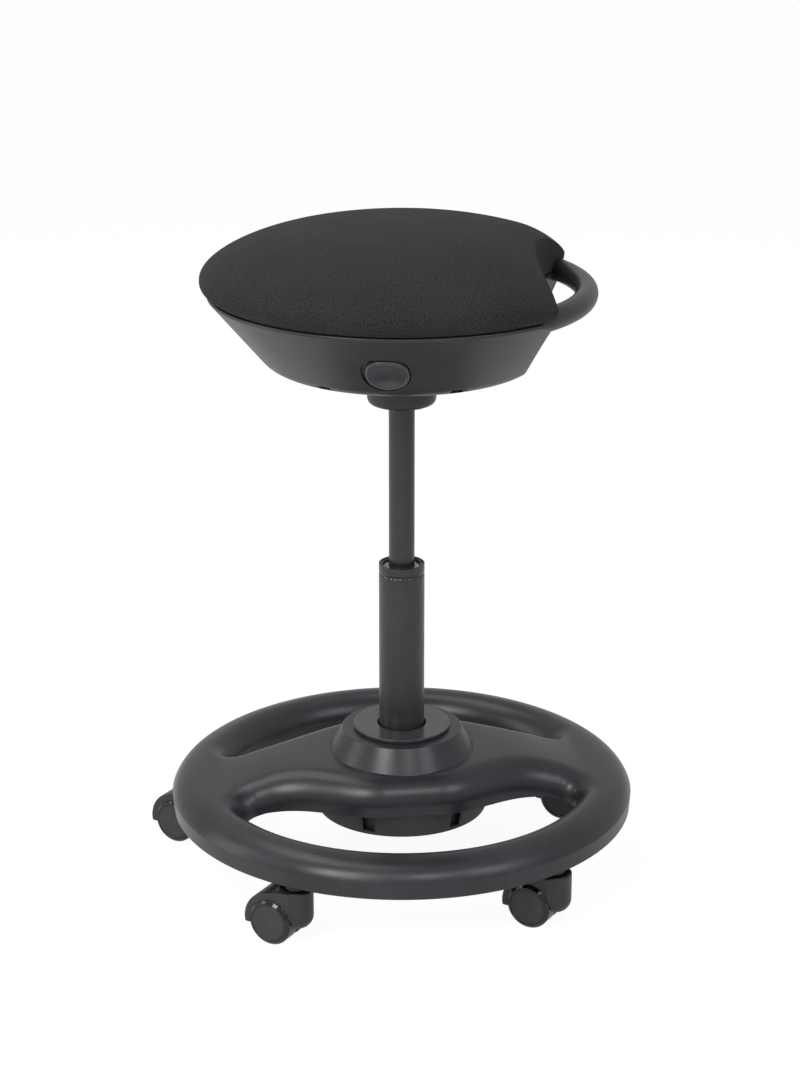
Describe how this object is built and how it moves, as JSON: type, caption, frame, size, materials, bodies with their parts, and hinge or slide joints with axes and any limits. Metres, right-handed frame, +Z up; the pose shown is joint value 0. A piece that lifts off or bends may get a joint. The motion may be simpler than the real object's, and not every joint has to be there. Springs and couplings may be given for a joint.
{
  "type": "perch stool",
  "caption": "Height-adjustable perch stool: domed fabric seat with a carrying handle and release button, gas lift, moulded foot ring on twin-wheel casters.",
  "frame": {"origin": "on the floor, under the middle of the stool's bounding box", "axes": "+Z up; +X along the foot ring's bridge, to the side that the seat's handle points to; -Y to the front, where the release button faces about 13 degrees to the left of it"},
  "size_m": [0.5288, 0.5348, 0.7255],
  "materials": {
    "ring_plastic": "fine moulded grain, black",
    "drum_plastic": "matte black",
    "gloss_plastic": "glossy black",
    "black_paint": "satin black paint",
    "black_plastic": "black",
    "dark_steel": "dark phosphated steel",
    "bright_steel": "bright steel",
    "shell_plastic": "fine moulded grain, black",
    "fabric": "woven black upholstery fabric",
    "board": "plywood",
    "rubber": "black rubber",
    "wheel": "glossy black tread, matte face"
  },
  "bodies": {
    "base": {"foot_ring": "ring_plastic", "hub_drum": "drum_plastic", "hub_sleeve": "dark_steel", "hub_cover_disc": "gloss_plastic", "outer_tube": "black_paint", "guide_bush": "black_plastic", "tube_crown_ring": "black_plastic", "wiper_washer": "bright_steel", "lower_bearing_race": "bright_steel", "bearing_ball_cage": "bright_steel", "caster_stem_1": "dark_steel", "caster_stem_2": "dark_steel", "caster_stem_3": "dark_steel", "caster_stem_4": "dark_steel", "caster_stem_5": "dark_steel"},
    "rod": {"piston_rod": "bright_steel", "rod_clip": "dark_steel", "upper_bearing_race": "bright_steel", "bump_stop": "rubber"},
    "seat": {"gas_piston": "black_paint", "piston_gland": "black_plastic", "column_collar": "shell_plastic", "mounting_plate": "dark_steel", "plate_screw_1": "bright_steel", "plate_screw_2": "bright_steel", "plate_screw_3": "bright_steel", "plate_screw_4": "bright_steel", "seat_shell": "shell_plastic", "seat_board": "board", "cushion": "fabric", "lever_pin": "bright_steel"},
    "button": {"release_button": "shell_plastic"},
    "lever": {"release_lever": "dark_steel"},
    "valve": {"valve_pin": "bright_steel"},
    "caster_1": {"caster_hood_1": "shell_plastic", "caster_axle_1": "bright_steel"},
    "wheel_left_1": {"caster_wheel_left_1": "wheel"},
    "wheel_right_1": {"caster_wheel_right_1": "wheel"},
    "caster_2": {"caster_hood_2": "shell_plastic", "caster_axle_2": "bright_steel"},
    "wheel_left_2": {"caster_wheel_left_2": "wheel"},
    "wheel_right_2": {"caster_wheel_right_2": "wheel"},
    "caster_3": {"caster_hood_3": "shell_plastic", "caster_axle_3": "bright_steel"},
    "wheel_left_3": {"caster_wheel_left_3": "wheel"},
    "wheel_right_3": {"caster_wheel_right_3": "wheel"},
    "caster_4": {"caster_hood_4": "shell_plastic", "caster_axle_4": "bright_steel"},
    "wheel_left_4": {"caster_wheel_left_4": "wheel"},
    "wheel_right_4": {"caster_wheel_right_4": "wheel"},
    "caster_5": {"caster_hood_5": "shell_plastic", "caster_axle_5": "bright_steel"},
    "wheel_left_5": {"caster_wheel_left_5": "wheel"},
    "wheel_right_5": {"caster_wheel_right_5": "wheel"}
  },
  "joints": [
    {"name": "seat_swivel", "type": "hinge", "parent": "base", "child": "rod", "pos_m": [0.00989, -0.01293, 0.09], "axis": [0, 0, 1], "continuous": true},
    {"name": "seat_lift", "type": "slide", "parent": "rod", "child": "seat", "axis": [0, 0, 1], "range_m": [-0.16, 0]},
    {"name": "button_press", "type": "slide", "parent": "seat", "child": "button", "axis": [0.1748, 0.7692, 0.6146], "range_m": [0, 0.005], "stiffness_N_per_m": 1500, "springref_m": -0.003},
    {"name": "lever_rock", "type": "hinge", "parent": "seat", "child": "lever", "pos_m": [-0.00451, -0.07631, 0.6028], "axis": [0.9751, -0.2215, 0], "range_deg": [-2.4, 0]},
    {"name": "valve_press", "type": "slide", "parent": "seat", "child": "valve", "axis": [0, 0, 1], "range_m": [-0.0027, 0]},
    {"name": "caster_swivel_1", "type": "hinge", "parent": "base", "child": "caster_1", "pos_m": [-0.12824, -0.20304, 0.06], "axis": [0, 0, 1], "continuous": true},
    {"name": "wheel_spin_left_1", "type": "hinge", "parent": "caster_1", "child": "wheel_left_1", "pos_m": [-0.144, -0.19073, 0.025], "axis": [-0.6157, -0.788, 0], "continuous": true},
    {"name": "wheel_spin_right_1", "type": "hinge", "parent": "caster_1", "child": "wheel_right_1", "pos_m": [-0.144, -0.19073, 0.025], "axis": [-0.6157, -0.788, 0], "continuous": true},
    {"name": "caster_swivel_2", "type": "hinge", "parent": "base", "child": "caster_2", "pos_m": [0.14802, -0.20304, 0.06], "axis": [0, 0, 1], "continuous": true},
    {"name": "wheel_spin_left_2", "type": "hinge", "parent": "caster_2", "child": "wheel_left_2", "pos_m": [0.13226, -0.19073, 0.025], "axis": [-0.6157, -0.788, 0], "continuous": true},
    {"name": "wheel_spin_right_2", "type": "hinge", "parent": "caster_2", "child": "wheel_right_2", "pos_m": [0.13226, -0.19073, 0.025], "axis": [-0.6157, -0.788, 0], "continuous": true},
    {"name": "caster_swivel_3", "type": "hinge", "parent": "base", "child": "caster_3", "pos_m": [0.23339, 0.05969, 0.06], "axis": [0, 0, 1], "continuous": true},
    {"name": "wheel_spin_left_3", "type": "hinge", "parent": "caster_3", "child": "wheel_left_3", "pos_m": [0.21763, 0.07201, 0.025], "axis": [-0.6157, -0.788, 0], "continuous": true},
    {"name": "wheel_spin_right_3", "type": "hinge", "parent": "caster_3", "child": "wheel_right_3", "pos_m": [0.21763, 0.07201, 0.025], "axis": [-0.6157, -0.788, 0], "continuous": true},
    {"name": "caster_swivel_4", "type": "hinge", "parent": "base", "child": "caster_4", "pos_m": [0.00989, 0.22207, 0.06], "axis": [0, 0, 1], "continuous": true},
    {"name": "wheel_spin_left_4", "type": "hinge", "parent": "caster_4", "child": "wheel_left_4", "pos_m": [-0.00587, 0.23439, 0.025], "axis": [-0.6157, -0.788, 0], "continuous": true},
    {"name": "wheel_spin_right_4", "type": "hinge", "parent": "caster_4", "child": "wheel_right_4", "pos_m": [-0.00587, 0.23439, 0.025], "axis": [-0.6157, -0.788, 0], "continuous": true},
    {"name": "caster_swivel_5", "type": "hinge", "parent": "base", "child": "caster_5", "pos_m": [-0.21361, 0.05969, 0.06], "axis": [0, 0, 1], "continuous": true},
    {"name": "wheel_spin_left_5", "type": "hinge", "parent": "caster_5", "child": "wheel_left_5", "pos_m": [-0.22937, 0.07201, 0.025], "axis": [-0.6157, -0.788, 0], "continuous": true},
    {"name": "wheel_spin_right_5", "type": "hinge", "parent": "caster_5", "child": "wheel_right_5", "pos_m": [-0.22937, 0.07201, 0.025], "axis": [-0.6157, -0.788, 0], "continuous": true}
  ],
  "couplings": [
    {"joint": "lever_rock", "follows": "button_press", "rad_per_m": -7.9398},
    {"joint": "valve_press", "follows": "button_press", "ratio": -0.5161}
  ]
}
